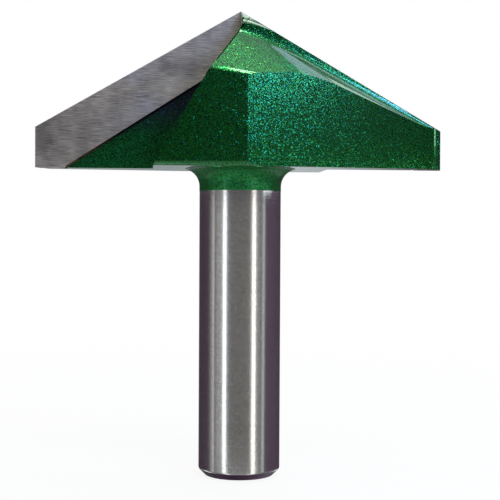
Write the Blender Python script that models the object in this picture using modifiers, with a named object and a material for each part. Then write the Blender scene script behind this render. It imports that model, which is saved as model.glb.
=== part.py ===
"""V-groove router bit: a turned and milled steel body with two brazed carbide plates.

The bit stands on the end of its shank. The origin is the centre of that end, +Z runs
up the shank to the point of the vee, and the two cutting edges lie in the XZ plane.
Wing one reaches to -X and cuts on its -Y face. Wing two is wing one turned half round.
"""

import math

import bmesh
import bpy
from mathutils import Matrix, Vector

# Turned blank, in metres
SHANK_DIAMETER = 0.012
SHANK_LENGTH = 0.0451
SHANK_CHAMFER = 0.001
COLLAR_FILLET = 0.0026
COLLAR_ARC = math.radians(76)
HEAD_DIAMETER = 0.060
HEAD_SIDE = 0.0059
GROOVE_ANGLE = math.radians(120)

# Faces milled round the head
HUB_THICKNESS = 0.0176
HEEL_ANGLE = math.radians(9.3)
HEEL_START = 0.00035
SIDE_RELIEF = math.radians(19)
LAND_RELIEF = math.radians(13.5)
HUB_BOTTOM_ROUND = 0.0007
HEEL_BOTTOM_ROUND = 0.00015
HEEL_CORNER_ROUND = 0.0003

# Relief behind each cutting edge
LAND_WIDTH = 0.0042
RELIEF_FILLET = 0.0005
HUB_CREST_HEIGHT = 0.0130
HUB_RELIEF_SLOPE = 1.476
HUB_RELIEF_FALL = 0.256
WING_RELIEF_DROP = 0.0028
WING_RELIEF_SLOPE = 0.644
WING_RELIEF_FALL = 0.530
RELIEF_ROLL = 0.0027

# Chip space in front of each cutting edge, and its wall on the side of the hub
GASH_FLOOR_DEPTH = 0.0006
GASH_FOOT_REACH = 0.01285
GASH_KNEE_REACH = 0.01165
GASH_KNEE_HEIGHT = 0.00255
GASH_WALL_SLOPE = 1.675
GASH_FILLET = 0.001

# Carbide plates and the seats that they are brazed into
PLATE_THICKNESS = 0.0022
PLATE_TIP_DROP = 0.00657
PLATE_LOWER_SLOPE = 0.641
PLATE_SIDE_RELIEF = math.radians(14)
PLATE_PROUD = 0.00015
PLATE_SIDE_PROUD = 0.00025
SEAT_WALL_DROP = 0.00256
SEAT_WALL_SLOPE = 1.39
SEAT_GAP = 0.0003
SEAT_OVERRUN = 0.0001

# Smoothness of the turned surfaces
TURN_STEPS = 96
FILLET_STEPS = 8
EDGE_STEPS = 4
ROLL_STEPS = 6
MERGE = 0.00001
SLANTED = 0.1

# Each milled space reaches this much farther out than the one before, in the air
STAGGER = 0.002

# Sizes that follow from the ones above
SHANK_RADIUS = SHANK_DIAMETER / 2
HEAD_RADIUS = HEAD_DIAMETER / 2
EDGE_SLOPE = 1 / math.tan(GROOVE_ANGLE / 2)
UNDERSIDE = SHANK_LENGTH
CORNER_HEIGHT = UNDERSIDE + HEAD_SIDE
TIP_HEIGHT = CORNER_HEIGHT + HEAD_RADIUS * EDGE_SLOPE
STEEL_TIP = TIP_HEIGHT - PLATE_PROUD
STEEL_RADIUS = HEAD_RADIUS - PLATE_SIDE_PROUD
HUB_FACE = HUB_THICKNESS / 2
REACH = 2 * HEAD_RADIUS


def clear_scene():
    for item in list(bpy.data.objects):
        bpy.data.objects.remove(item, do_unlink=True)


def make_collection(name):
    collection = bpy.data.collections.new(name)
    bpy.context.scene.collection.children.link(collection)
    return collection


def make_material(name, colour, metallic, roughness):
    material = bpy.data.materials.new(name)
    material.use_nodes = True
    shader = material.node_tree.nodes["Principled BSDF"]
    shader.inputs["Base Color"].default_value = (*colour, 1.0)
    shader.inputs["Metallic"].default_value = metallic
    shader.inputs["Roughness"].default_value = roughness
    material.diffuse_color = (*colour, 1.0)
    return material


def add_object(name, mesh, collection):
    item = bpy.data.objects.new(name, mesh)
    collection.objects.link(item)
    return item


def add_cutter(name, mesh):
    item = add_object(name, mesh, CUTTERS)
    item.hide_render = True
    item.display_type = "WIRE"
    return item


def settle(item):
    """Put the evaluated shape of an object, in world space, into its own mesh."""
    bpy.context.view_layer.update()
    graph = bpy.context.evaluated_depsgraph_get()
    mesh = bpy.data.meshes.new_from_object(item.evaluated_get(graph))
    mesh.transform(item.matrix_world)
    if item.type == "MESH":
        item.modifiers.clear()
        item.matrix_world = Matrix.Identity(4)
        item.data = mesh
    return mesh


def weld(mesh):
    shape = bmesh.new()
    shape.from_mesh(mesh)
    bmesh.ops.remove_doubles(shape, verts=shape.verts, dist=MERGE / 10)
    bmesh.ops.recalc_face_normals(shape, faces=shape.faces)
    shape.to_mesh(mesh)
    shape.free()


def turned(name, profile, collection):
    """A solid of revolution about Z, from a profile that runs from the top down."""
    mesh = bpy.data.meshes.new(name)
    points = [(radius, 0, height) for radius, height in profile]
    edges = [(i, i + 1) for i in range(len(points) - 1)]
    mesh.from_pydata(points, edges, [])
    item = add_object(name, mesh, collection)
    screw = item.modifiers.new("Turn", "SCREW")
    screw.steps = TURN_STEPS
    screw.render_steps = TURN_STEPS
    screw.use_merge_vertices = True
    screw.merge_threshold = MERGE
    settle(item)
    weld(item.data)
    return item


def plate_solid(name, outline, front, back):
    """A flat outline in X and Z, made solid between two values of Y."""
    curve = bpy.data.curves.new(name, "CURVE")
    curve.dimensions = "2D"
    curve.fill_mode = "BOTH"
    curve.extrude = (back - front) / 2
    spline = curve.splines.new("POLY")
    spline.points.add(len(outline) - 1)
    for point, (x, z) in zip(spline.points, outline):
        point.co = (x, z, 0, 1)
    spline.use_cyclic_u = True
    drawn = add_object(name + "_outline", curve, CUTTERS)
    drawn.matrix_world = (Matrix.Translation((0, (front + back) / 2, 0))
                          @ Matrix.Rotation(math.pi / 2, 4, "X"))
    mesh = settle(drawn)
    bpy.data.objects.remove(drawn, do_unlink=True)
    weld(mesh)
    return mesh


def block(low, high):
    """A box between two corners, as a mesh."""
    shape = bmesh.new()
    bmesh.ops.create_cube(shape, size=1)
    low, high = Vector(low), Vector(high)
    size = high - low
    place = Matrix.Translation((low + high) / 2) @ Matrix.Diagonal((*size, 1))
    bmesh.ops.transform(shape, matrix=place, verts=shape.verts)
    mesh = bpy.data.meshes.new("block")
    shape.to_mesh(mesh)
    shape.free()
    return mesh


def mill_flat(mesh, point, normal):
    """Cut a convex shape along a plane and close it. The side of the normal goes."""
    shape = bmesh.new()
    shape.from_mesh(mesh)
    everything = shape.verts[:] + shape.edges[:] + shape.faces[:]
    cut = bmesh.ops.bisect_plane(shape, geom=everything, dist=MERGE / 10, plane_co=point,
                                 plane_no=normal, clear_outer=True)
    rim = [part for part in cut["geom_cut"] if isinstance(part, bmesh.types.BMEdge)]
    rim = [edge for edge in rim if edge.is_boundary]
    bmesh.ops.contextual_create(shape, geom=rim)
    bmesh.ops.remove_doubles(shape, verts=shape.verts, dist=MERGE / 10)
    bmesh.ops.recalc_face_normals(shape, faces=shape.faces)
    shape.to_mesh(mesh)
    shape.free()


def round_edges(mesh, width, steps, wanted):
    """Round the edges between two faces whose normals pass the test that is given."""
    shape = bmesh.new()
    shape.from_mesh(mesh)
    shape.normal_update()
    edges = []
    for edge in shape.edges:
        if len(edge.link_faces) == 2:
            normals = [face.normal for face in edge.link_faces]
            if wanted(normals) or wanted(normals[::-1]):
                edges.append(edge)
    bmesh.ops.bevel(shape, geom=edges, offset=width, offset_type="OFFSET", segments=steps,
                    profile=0.5, affect="EDGES", clamp_overlap=True)
    bmesh.ops.remove_doubles(shape, verts=shape.verts, dist=MERGE / 10)
    shape.to_mesh(mesh)
    shape.free()


def faces_along(normal, direction, closeness=0.999):
    return normal.dot(Vector(direction).normalized()) > closeness


def triangulate(mesh):
    shape = bmesh.new()
    shape.from_mesh(mesh)
    bmesh.ops.triangulate(shape, faces=shape.faces)
    shape.to_mesh(mesh)
    shape.free()


def dissolve_flat(mesh):
    """Join faces that lie in one plane, so that each side is one face again."""
    shape = bmesh.new()
    shape.from_mesh(mesh)
    bmesh.ops.dissolve_limit(shape, angle_limit=math.radians(0.1), verts=shape.verts,
                             edges=shape.edges)
    shape.to_mesh(mesh)
    shape.free()


def combine(item, other, operation):
    """Join, cut or intersect one object with another, for good."""
    triangulate(item.data)
    triangulate(other.data)
    change = item.modifiers.new(operation.title(), "BOOLEAN")
    change.operation = operation
    change.solver = "EXACT"
    change.object = other
    settle(item)
    weld(item.data)


def cut_both_sides(item, mesh):
    """Cut with a shape, and again with the same shape turned half round the axis."""
    for number, turn in enumerate((0, math.pi), start=1):
        cutter = add_cutter(f"milled_space_{number}", mesh)
        cutter.rotation_euler.z = turn
        bpy.context.view_layer.update()
        combine(item, cutter, "DIFFERENCE")


def crossing(first, second):
    """Where two lines in a plane meet, each given by two points."""
    (x1, y1), (x2, y2) = first
    (x3, y3), (x4, y4) = second
    turn = (x1 - x2) * (y3 - y4) - (y1 - y2) * (x3 - x4)
    one = x1 * y2 - y1 * x2
    two = x3 * y4 - y3 * x4
    return ((one * (x3 - x4) - (x1 - x2) * two) / turn,
            (one * (y3 - y4) - (y1 - y2) * two) / turn)


def moved_aside(line, distance):
    """A line moved to the left of its own direction by a distance."""
    (x1, y1), (x2, y2) = line
    length = math.hypot(x2 - x1, y2 - y1)
    step_x = -(y2 - y1) / length * distance
    step_y = (x2 - x1) / length * distance
    return (x1 + step_x, y1 + step_y), (x2 + step_x, y2 + step_y)


def plate_lower_edge(clearance):
    """The plate's lower edge, as a line through X = 0, lowered square to itself."""
    drop = clearance * math.hypot(1, PLATE_LOWER_SLOPE)
    start = TIP_HEIGHT - PLATE_TIP_DROP - drop
    return (-REACH, start - REACH * PLATE_LOWER_SLOPE), (0, start)


def seat_inner_edge(clearance, end):
    """Three corners where a plate or its seat ends beside the hub, from the lowest up.

    A wall rises from the lower edge towards the tip. Close to the axis it turns
    straight up, so that the plates of the two wings meet there.
    """
    top = TIP_HEIGHT - SEAT_WALL_DROP
    seat_wall = (-REACH, top - REACH * SEAT_WALL_SLOPE), (0, top)
    wall = moved_aside(seat_wall, SEAT_GAP - clearance)
    corner = crossing(plate_lower_edge(clearance), wall)
    turn = crossing(wall, ((end, 0), (end, TIP_HEIGHT)))
    return [corner, turn, (end, TIP_HEIGHT + REACH + STAGGER)]


def collar_profile():
    """Shank and collar from inside the head down to the end of the shank."""
    room = HUB_FACE - HUB_BOTTOM_ROUND - SHANK_RADIUS
    fillet = min(COLLAR_FILLET, room / (1 - math.cos(COLLAR_ARC)))
    centre_x = SHANK_RADIUS + fillet
    centre_z = UNDERSIDE - fillet
    arc = []
    for step in range(FILLET_STEPS + 1):
        angle = COLLAR_ARC * (1 - step / FILLET_STEPS)
        arc.append((centre_x - fillet * math.cos(angle), centre_z + fillet * math.sin(angle)))
    inside = UNDERSIDE + HEAD_SIDE / 2
    return ([(0, inside), (arc[0][0], inside)] + arc
            + [(SHANK_RADIUS, SHANK_CHAMFER), (SHANK_RADIUS - SHANK_CHAMFER, 0), (0, 0)])


def head_profile():
    steel_corner = STEEL_TIP - STEEL_RADIUS * EDGE_SLOPE
    return [(0, STEEL_TIP), (STEEL_RADIUS, steel_corner), (STEEL_RADIUS, UNDERSIDE),
            (0, UNDERSIDE)]


def mill_land(mesh, tip, relief):
    """Plane each land down behind its cutting edge."""
    for side in (1, -1):
        normal = Vector((side * EDGE_SLOPE, -side * math.tan(relief), 1))
        mill_flat(mesh, (0, 0, tip), normal.normalized())


def mill_side(mesh, radius, relief):
    """Plane each wing's end back behind its cutting corner."""
    for side in (1, -1):
        normal = Vector((side * math.cos(relief), -side * math.sin(relief), 0))
        mill_flat(mesh, (side * radius, 0, 0), normal)


def mill_hub_and_heels(mesh):
    """Flats across the hub, and the heel behind each wing."""
    for side in (1, -1):
        mill_flat(mesh, (0, -side * HUB_FACE, 0), (0, -side, 0))
        normal = Vector((side * math.sin(HEEL_ANGLE), -side * math.cos(HEEL_ANGLE), 0))
        mill_flat(mesh, (side * HEEL_START, -side * HUB_FACE, 0), normal)
    for side in (1, -1):
        flat = (0, -side, 0)
        heel = (side * math.sin(HEEL_ANGLE), -side * math.cos(HEEL_ANGLE), 0)
        end = (side * math.cos(SIDE_RELIEF), -side * math.sin(SIDE_RELIEF), 0)
        round_edges(mesh, HEEL_CORNER_ROUND, 2,
                    lambda n: faces_along(n[0], heel) and faces_along(n[1], end))
        round_edges(mesh, HUB_BOTTOM_ROUND, EDGE_STEPS,
                    lambda n: faces_along(n[0], flat) and faces_along(n[1], (0, 0, -1)))
        round_edges(mesh, HEEL_BOTTOM_ROUND, 2,
                    lambda n: faces_along(n[0], heel) and faces_along(n[1], (0, 0, -1)))


def relief_cutter():
    """The space milled away in front of one land: a wall, a fillet and a rolled slope."""
    hub_point = (0, -HUB_FACE, UNDERSIDE + HUB_CREST_HEIGHT)
    hub_normal = Vector((HUB_RELIEF_FALL, -HUB_RELIEF_SLOPE, 1)).normalized()
    wing_point = (0, -LAND_WIDTH, TIP_HEIGHT - WING_RELIEF_DROP)
    wing_normal = Vector((WING_RELIEF_FALL, -WING_RELIEF_SLOPE, 1)).normalized()
    roof = block((-2 * REACH, -2 * REACH, -REACH), (2 * REACH, REACH, 3 * REACH))
    mill_flat(roof, hub_point, hub_normal)
    mill_flat(roof, wing_point, wing_normal)
    round_edges(roof, RELIEF_ROLL, ROLL_STEPS,
                lambda n: faces_along(n[0], hub_normal) and faces_along(n[1], wing_normal))
    roof_cutter = add_cutter("relief_slope", roof)
    front = -HEAD_RADIUS - 2 * STAGGER
    top = TIP_HEIGHT + REACH + 2 * STAGGER
    space = add_cutter("relief_space",
                       block((-HEAD_RADIUS, front, 0), (REACH, -LAND_WIDTH, top)))
    combine(space, roof_cutter, "DIFFERENCE")
    dissolve_flat(space.data)
    round_edges(space.data, RELIEF_FILLET, EDGE_STEPS,
                lambda n: faces_along(n[0], (0, 1, 0)) and min(n[1].y, -n[1].z) > SLANTED)
    return space.data


def gash_cutter():
    """The chip space in front of wing one, with a fillet along the foot of its wall."""
    flare = GASH_FOOT_REACH - GASH_KNEE_REACH
    foot = (-GASH_FOOT_REACH - flare, UNDERSIDE - GASH_KNEE_HEIGHT)
    knee = (-GASH_KNEE_REACH, UNDERSIDE + GASH_KNEE_HEIGHT)
    wall = knee, (0, knee[1] + GASH_KNEE_REACH * GASH_WALL_SLOPE)
    inside_seat = crossing(wall, plate_lower_edge(0))
    top = TIP_HEIGHT + REACH
    outline = [(-REACH, foot[1]), foot, knee, inside_seat, (inside_seat[0], top), (-REACH, top)]
    mesh = plate_solid("gash", outline, -HEAD_RADIUS, GASH_FLOOR_DEPTH)
    round_edges(mesh, GASH_FILLET, EDGE_STEPS,
                lambda n: faces_along(n[0], (0, 1, 0)) and n[1].x > SLANTED > abs(n[1].y))
    return mesh


def seat_cutter():
    """The seat that the plate of wing one is brazed into, open to the front."""
    inner = seat_inner_edge(SEAT_GAP, SEAT_OVERRUN)
    left = -REACH - STAGGER
    foot = crossing(plate_lower_edge(SEAT_GAP), ((left, 0), (left, TIP_HEIGHT)))
    outline = [foot] + inner + [(left, inner[-1][1])]
    return plate_solid("seat", outline, -HEAD_RADIUS - STAGGER, PLATE_THICKNESS + SEAT_GAP)


def plate_outline():
    """The plate's face, with stock left to be ground off at the vee and at the diameter."""
    foot = crossing(plate_lower_edge(0), ((-REACH, UNDERSIDE), (0, UNDERSIDE)))
    inner = seat_inner_edge(0, -SEAT_GAP / 2)
    return [(-REACH, UNDERSIDE), foot] + inner + [(-REACH, inner[-1][1])]


def shade(item, material):
    item.data.materials.clear()
    item.data.materials.append(material)
    item.data.shade_smooth()
    item.data.set_sharp_from_angle(angle=math.radians(25))


def make_body(material):
    """Shank, collar and head: one piece of steel, turned and then milled."""
    body = turned("bit_body", head_profile(), PARTS)
    mill_land(body.data, STEEL_TIP, LAND_RELIEF)
    mill_side(body.data, STEEL_RADIUS, SIDE_RELIEF)
    mill_hub_and_heels(body.data)
    shank = turned("shank_blank", collar_profile(), CUTTERS)
    shank.hide_render = True
    shank.display_type = "WIRE"
    combine(body, shank, "UNION")
    space = add_cutter("gash", gash_cutter())
    combine(space, add_cutter("seat", seat_cutter()), "UNION")
    combine(space, add_cutter("relief", relief_cutter()), "UNION")
    dissolve_flat(space.data)
    cut_both_sides(body, space.data)
    shade(body, material)


def make_plates(material):
    """Two carbide plates, ground to the vee, to the diameter and to their relief."""
    vee = turned("ground_vee", [(0, TIP_HEIGHT), (HEAD_RADIUS, CORNER_HEIGHT),
                                (HEAD_RADIUS, 0), (0, 0)], CUTTERS)
    vee.hide_render = True
    vee.display_type = "WIRE"
    mill_land(vee.data, TIP_HEIGHT, LAND_RELIEF)
    mill_side(vee.data, HEAD_RADIUS, PLATE_SIDE_RELIEF)
    mesh = plate_solid("plate", plate_outline(), 0, PLATE_THICKNESS)
    for name, turn in (("carbide_tip_left", 0), ("carbide_tip_right", math.pi)):
        plate = add_object(name, mesh.copy(), PARTS)
        plate.data.transform(Matrix.Rotation(turn, 4, "Z"))
        combine(plate, vee, "INTERSECT")
        shade(plate, material)


clear_scene()
PARTS = make_collection("v_groove_router_bit")
CUTTERS = make_collection("cutters")
CUTTERS.hide_render = True
make_body(make_material("painted_steel", (0.03, 0.20, 0.10), 0.4, 0.35))
make_plates(make_material("tungsten_carbide", (0.33, 0.32, 0.32), 0.9, 0.4))
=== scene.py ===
"""V-groove router bit, dressed: ground shank, painted head and ground carbide plates."""

import math

import bmesh
import bpy
from mathutils import Matrix, Vector


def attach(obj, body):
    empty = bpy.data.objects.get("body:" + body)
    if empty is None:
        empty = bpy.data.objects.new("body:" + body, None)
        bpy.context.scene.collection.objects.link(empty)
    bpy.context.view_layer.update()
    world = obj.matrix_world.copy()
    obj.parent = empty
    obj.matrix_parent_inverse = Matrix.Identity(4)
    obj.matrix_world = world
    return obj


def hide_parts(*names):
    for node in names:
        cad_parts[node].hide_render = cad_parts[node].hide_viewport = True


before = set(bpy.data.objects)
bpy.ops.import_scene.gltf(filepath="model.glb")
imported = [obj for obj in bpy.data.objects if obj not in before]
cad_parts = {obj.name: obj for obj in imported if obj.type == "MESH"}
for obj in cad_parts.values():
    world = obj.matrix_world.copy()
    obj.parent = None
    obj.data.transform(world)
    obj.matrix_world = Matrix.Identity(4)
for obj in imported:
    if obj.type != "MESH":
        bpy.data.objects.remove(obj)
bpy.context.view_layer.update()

# ---------------------------------------------------------------- Ground shank
# The router's collet grips this plain round end. It is bare hardened steel, in one piece
# with the head, ground between centres, with a chamfer on the end that goes in first.
SHANK_RADIUS = 0.006
SHANK_CHAMFER = 0.001
PAINT_LINE = 0.0418
UNDER_PAINT = 0.0003
RIM_ROUND = 0.00012
CHAMFER_ROUND = 0.00018
SHANK_SIDES = 192


def pick(item):
    """Select one object alone, ready for an operator."""
    if bpy.context.mode != "OBJECT":
        bpy.ops.object.mode_set(mode="OBJECT")
    bpy.ops.object.select_all(action="DESELECT")
    item.select_set(True)
    bpy.context.view_layer.objects.active = item


def turned(name, profile, sides):
    """A round solid, drawn up ring by ring from its lower end: (radius, height) pairs."""
    bpy.ops.object.select_all(action="DESELECT")
    radius, height = profile[0]
    bpy.ops.mesh.primitive_circle_add(vertices=sides, radius=radius, fill_type="NGON",
                                      location=(0, 0, height))
    item = bpy.context.object
    item.name = name
    bpy.ops.object.transform_apply(location=True, rotation=False, scale=False)
    bpy.ops.object.mode_set(mode="EDIT")
    bpy.ops.mesh.select_all(action="SELECT")
    for next_radius, next_height in profile[1:]:
        bpy.ops.mesh.extrude_region_move(
            TRANSFORM_OT_translate={"value": (0, 0, next_height - height)})
        scale = next_radius / radius
        bpy.ops.transform.resize(value=(scale, scale, 1), center_override=(0, 0, next_height))
        radius, height = next_radius, next_height
    bpy.ops.mesh.select_all(action="SELECT")
    bpy.ops.mesh.normals_make_consistent(inside=False)
    bpy.ops.object.mode_set(mode="OBJECT")
    return item


def rounded_corner(before, corner, after, size, steps):
    """Points of a small arc that replaces one corner of a profile."""
    start = corner + (before - corner).normalized() * size
    end = corner + (after - corner).normalized() * size
    arc = []
    for step in range(steps + 1):
        t = step / steps
        arc.append((1 - t) ** 2 * start + 2 * t * (1 - t) * corner + t ** 2 * end)
    return [tuple(point) for point in arc]


end_centre = Vector((0.0, 0.0))
end_rim = Vector((SHANK_RADIUS - SHANK_CHAMFER, 0.0))
chamfer_top = Vector((SHANK_RADIUS, SHANK_CHAMFER))
under_paint = Vector((SHANK_RADIUS, PAINT_LINE + UNDER_PAINT))
shank_profile = (rounded_corner(end_centre, end_rim, chamfer_top, RIM_ROUND, 3)
                 + rounded_corner(end_rim, chamfer_top, under_paint, CHAMFER_ROUND, 3)
                 + [tuple(under_paint)])
shank = turned("ground_shank", shank_profile, SHANK_SIDES)


def new_material(name):
    """A material with its node tree, its Principled shader and a way to add nodes."""
    material = bpy.data.materials.new(name)
    material.use_nodes = True
    return material, material.node_tree, material.node_tree.nodes["Principled BSDF"]


def node(tree, kind, **settings):
    """Add a node, with its properties and the values of its unlinked sockets."""
    made = tree.nodes.new(kind)
    for name, value in settings.items():
        if hasattr(made, name):
            setattr(made, name, value)
        else:
            made.inputs[name.replace("_", " ")].default_value = value
    return made


def new_group(name, wanted, given):
    """A node group with named float, colour or vector sockets."""
    kinds = {"f": "NodeSocketFloat", "c": "NodeSocketColor", "v": "NodeSocketVector"}
    group = bpy.data.node_groups.new(name, "ShaderNodeTree")
    for socket, kind in wanted:
        group.interface.new_socket(socket, in_out="INPUT", socket_type=kinds[kind])
    for socket, kind in given:
        group.interface.new_socket(socket, in_out="OUTPUT", socket_type=kinds[kind])
    return group, group.nodes.new("NodeGroupInput"), group.nodes.new("NodeGroupOutput")


# The fine lines that a grinding wheel leaves: long one way, close together the other
grind, grind_in, grind_out = new_group(
    "grinding_lines", [("Vector", "v"), ("Stretch", "v"), ("Depth", "f")],
    [("Lines", "f"), ("Blotches", "f")])
stretched = node(grind, "ShaderNodeVectorMath", operation="MULTIPLY")
fine = node(grind, "ShaderNodeTexNoise", Scale=1.0, Detail=4.0, Roughness=0.65)
broad = node(grind, "ShaderNodeTexNoise", Scale=230.0, Detail=3.0, Roughness=0.55)
deepen = node(grind, "ShaderNodeMath", operation="MULTIPLY")
grind.links.new(grind_in.outputs["Vector"], stretched.inputs[0])
grind.links.new(grind_in.outputs["Stretch"], stretched.inputs[1])
grind.links.new(stretched.outputs[0], fine.inputs["Vector"])
grind.links.new(grind_in.outputs["Vector"], broad.inputs["Vector"])
grind.links.new(fine.outputs["Fac"], deepen.inputs[0])
grind.links.new(grind_in.outputs["Depth"], deepen.inputs[1])
grind.links.new(deepen.outputs[0], grind_out.inputs["Lines"])
grind.links.new(broad.outputs["Fac"], grind_out.inputs["Blotches"])

# Ground steel: fine lines run round it, under a satin grain
steel, tree, shader = new_material("ground_steel")
shader.inputs["Metallic"].default_value = 0.94
shader.inputs["Anisotropic"].default_value = 0.75
place = node(tree, "ShaderNodeTexCoord")
lines = node(tree, "ShaderNodeGroup", node_tree=grind, Stretch=(60, 60, 14000), Depth=1.0)
tint = node(tree, "ShaderNodeMix", data_type="RGBA")
tint.inputs["A"].default_value = (0.50, 0.48, 0.475, 1)
tint.inputs["B"].default_value = (0.64, 0.625, 0.61, 1)
satin = node(tree, "ShaderNodeTexNoise", Scale=3400.0, Detail=3.0, Roughness=0.65)
specks = node(tree, "ShaderNodeMapRange", From_Min=0.3, From_Max=0.7, To_Min=0.83, To_Max=1.17)
speckled = node(tree, "ShaderNodeVectorMath", operation="SCALE")
rough = node(tree, "ShaderNodeMapRange", From_Min=0.3, From_Max=0.7, To_Min=0.10, To_Max=0.17)
bump = node(tree, "ShaderNodeBump", Strength=0.12, Distance=0.00002)
around = node(tree, "ShaderNodeTangent", direction_type="RADIAL", axis="Z")
tree.links.new(place.outputs["Object"], lines.inputs["Vector"])
tree.links.new(lines.outputs["Lines"], tint.inputs["Factor"])
tree.links.new(place.outputs["Object"], satin.inputs["Vector"])
tree.links.new(satin.outputs["Fac"], specks.inputs["Value"])
tree.links.new(tint.outputs["Result"], speckled.inputs[0])
tree.links.new(specks.outputs["Result"], speckled.inputs["Scale"])
tree.links.new(speckled.outputs[0], shader.inputs["Base Color"])
tree.links.new(lines.outputs["Lines"], rough.inputs["Value"])
tree.links.new(rough.outputs["Result"], shader.inputs["Roughness"])
tree.links.new(lines.outputs["Lines"], bump.inputs["Height"])
tree.links.new(bump.outputs["Normal"], shader.inputs["Normal"])
tree.links.new(around.outputs["Tangent"], shader.inputs["Tangent"])
shank.data.materials.append(steel)

# The chamfer and the end are turned, not ground, and painted dark plum: painted reflection,
# standing in for the dark purple they reflect
chamfer_dark_paint, tree, shader = new_material("chamfer_painted_reflection")
shader.inputs["Metallic"].default_value = 0.9
place = node(tree, "ShaderNodeTexCoord")
lines = node(tree, "ShaderNodeGroup", node_tree=grind, Stretch=(900, 900, 9000), Depth=1.0)
tint = node(tree, "ShaderNodeMix", data_type="RGBA")
tint.inputs["A"].default_value = (0.035, 0.010, 0.032, 1)
tint.inputs["B"].default_value = (0.11, 0.045, 0.10, 1)
rough = node(tree, "ShaderNodeMapRange", From_Min=0.3, From_Max=0.7, To_Min=0.32, To_Max=0.5)
tree.links.new(place.outputs["Object"], lines.inputs["Vector"])
tree.links.new(lines.outputs["Blotches"], tint.inputs["Factor"])
tree.links.new(tint.outputs["Result"], shader.inputs["Base Color"])
tree.links.new(lines.outputs["Lines"], rough.inputs["Value"])
tree.links.new(rough.outputs["Result"], shader.inputs["Roughness"])
shank.data.materials.append(chamfer_dark_paint)
for face in shank.data.polygons:
    if face.center.z < 0.97 * SHANK_CHAMFER:
        face.material_index = 1


def finish_surface(item, smooth_below, flat_above):
    """Shade smooth where sides turn by less than some degrees, but large sides flat."""
    pick(item)
    bpy.ops.object.shade_smooth_by_angle(angle=math.radians(smooth_below))
    bpy.ops.object.mode_set(mode="EDIT")
    bpy.ops.mesh.select_mode(type="FACE")
    bpy.ops.mesh.select_all(action="DESELECT")
    shape = bmesh.from_edit_mesh(item.data)
    for face in shape.faces:
        face.select = face.calc_area() > flat_above
    bmesh.update_edit_mesh(item.data)
    bpy.ops.mesh.faces_shade_flat()
    bpy.ops.object.mode_set(mode="OBJECT")


finish_surface(shank, 30, 5e-5)
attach(shank, "root")
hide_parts("bit_body")

# ---------------------------------------------------------------- Painted head
# Collar and head are one piece of steel with the shank: turned to a cone, then milled
# with flats, heels, reliefs and a chip space for each wing, and sprayed metallic green.
UNDERSIDE = 0.0451
HEAD_SIDE = 0.0059
HEAD_RADIUS = 0.030
EDGE_SLOPE = math.tan(math.radians(30))
CORNER_HEIGHT = UNDERSIDE + HEAD_SIDE
TIP_HEIGHT = CORNER_HEIGHT + HEAD_RADIUS * EDGE_SLOPE
STEEL_TIP = TIP_HEIGHT - 0.00005
STEEL_RADIUS = HEAD_RADIUS - 0.00025
HUB_FACE = 0.0088
HEEL_ANGLE = math.radians(9.3)
HEEL_START = 0.00035
COLLAR_FILLET = 0.0026
COLLAR_STANDS_PROUD = 0.00002
LAND_WIDTH = 0.0042
LAND_CLEARANCE = math.radians(13.5)
END_CLEARANCE = math.radians(19)
DOWN = (0, 0, -1)
PAINTED_ROUND = 0.0003
HUB_FOOT_ROUND = 0.0007
CREST_ROUND = 0.0004
BROKEN_EDGE = 0.00009


def cut_off(item, point, normal):
    """Take off what lies on the normal's side of a plane, and close the cut."""
    pick(item)
    bpy.ops.object.mode_set(mode="EDIT")
    bpy.ops.mesh.select_all(action="SELECT")
    bpy.ops.mesh.bisect(plane_co=point, plane_no=normal, use_fill=True, clear_outer=True,
                        threshold=1e-7)
    bpy.ops.object.mode_set(mode="OBJECT")


def round_edges(item, width, segments, wanted):
    """Bevel the edges whose two faces pass the test."""
    pick(item)
    bpy.ops.object.mode_set(mode="EDIT")
    bpy.ops.mesh.select_mode(type="EDGE")
    bpy.ops.mesh.select_all(action="DESELECT")
    shape = bmesh.from_edit_mesh(item.data)
    for edge in shape.edges:
        if len(edge.link_faces) == 2:
            first, second = edge.link_faces
            edge.select = wanted(first, second, edge) or wanted(second, first, edge)
    bmesh.update_edit_mesh(item.data)
    bpy.ops.mesh.bevel(offset=width, segments=segments, profile=0.5, affect="EDGES",
                       clamp_overlap=True)
    bpy.ops.object.mode_set(mode="OBJECT")


def looks_along(face, direction):
    return face.normal.dot(Vector(direction).normalized()) > 0.999


def between(first, second):
    """The test for edges where a side that looks one way meets a side that looks another."""
    return lambda a, b, edge: looks_along(a, first) and looks_along(b, second)


def in_triangles(item):
    pick(item)
    bpy.ops.object.mode_set(mode="EDIT")
    bpy.ops.mesh.select_all(action="SELECT")
    bpy.ops.mesh.quads_convert_to_tris()
    bpy.ops.object.mode_set(mode="OBJECT")


def in_flat_faces(item):
    """Join the triangles of each flat side into one face again."""
    pick(item)
    bpy.ops.object.mode_set(mode="EDIT")
    bpy.ops.mesh.select_all(action="SELECT")
    bpy.ops.mesh.remove_doubles(threshold=2e-6)
    bpy.ops.mesh.dissolve_limited(angle_limit=math.radians(0.2))
    bpy.ops.object.mode_set(mode="OBJECT")


def join_or_carve(item, other, operation):
    """Apply a Boolean with another object, which is used up."""
    in_triangles(other)
    in_triangles(item)
    change = item.modifiers.new("Milled", "BOOLEAN")
    change.operation = operation
    change.solver = "EXACT"
    change.object = other
    bpy.ops.object.modifier_apply(modifier=change.name)
    bpy.data.objects.remove(other, do_unlink=True)
    in_flat_faces(item)


def block(low, high):
    bpy.ops.object.select_all(action="DESELECT")
    middle = [(a + b) / 2 for a, b in zip(low, high)]
    bpy.ops.mesh.primitive_cube_add(size=1, location=middle,
                                    scale=[b - a for a, b in zip(low, high)])
    bpy.ops.object.transform_apply(location=True, rotation=False, scale=True)
    return bpy.context.object


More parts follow.
